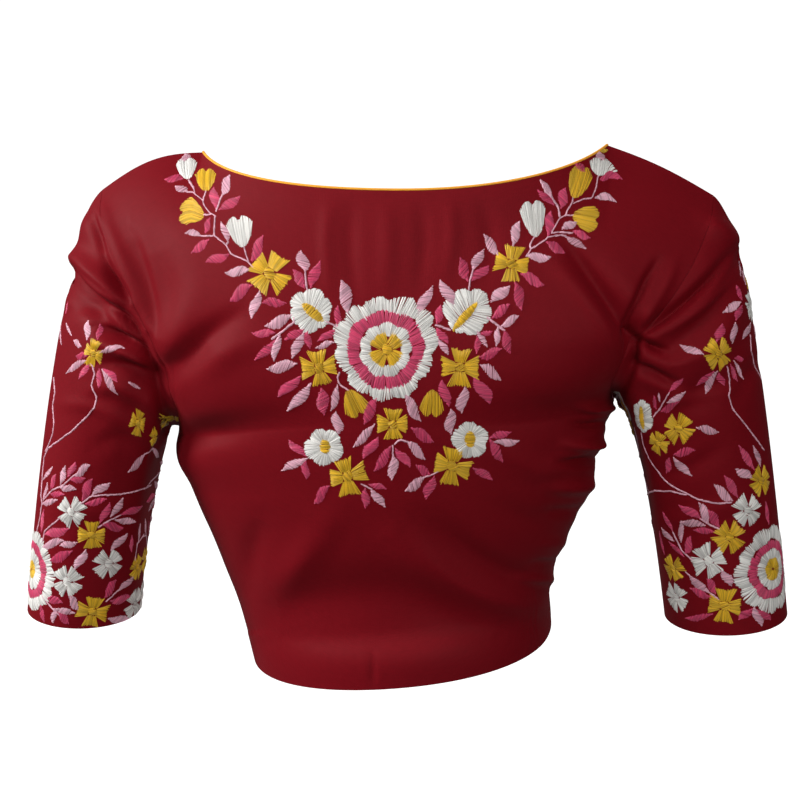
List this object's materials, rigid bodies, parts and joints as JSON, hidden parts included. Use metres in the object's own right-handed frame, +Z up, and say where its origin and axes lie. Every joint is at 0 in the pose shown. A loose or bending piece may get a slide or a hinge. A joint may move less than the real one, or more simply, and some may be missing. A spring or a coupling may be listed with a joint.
{
  "type": "choli blouse",
  "caption": "Short fitted choli blouse with elbow sleeves and a wide shallow neck, filled out as worn and open at neck, hem and cuffs.",
  "frame": {"origin": "midway between the two points where neckline and shoulder seam meet, level with the top of the piping, the line on which the wearer's shoulders hold the blouse", "axes": "+Z up, -Y out of the embroidered back, +Y out of the hooked front, +X towards the wearer's right sleeve"},
  "size_m": [0.5175, 0.2007, 0.3501],
  "materials": {
    "body_cloth": "maroon silk-cotton plain weave with a soft sheen",
    "sleeve_cloth": "maroon silk-cotton plain weave with a soft sheen",
    "piping": "golden orange satin bias strip over a thin cord"
  },
  "bodies": {
    "root": {"back_panel": "body_cloth", "front_right_panel": "body_cloth", "front_left_panel": "body_cloth", "right_sleeve": "sleeve_cloth", "left_sleeve": "sleeve_cloth", "neck_piping": "piping"}
  },
  "joints": []
}
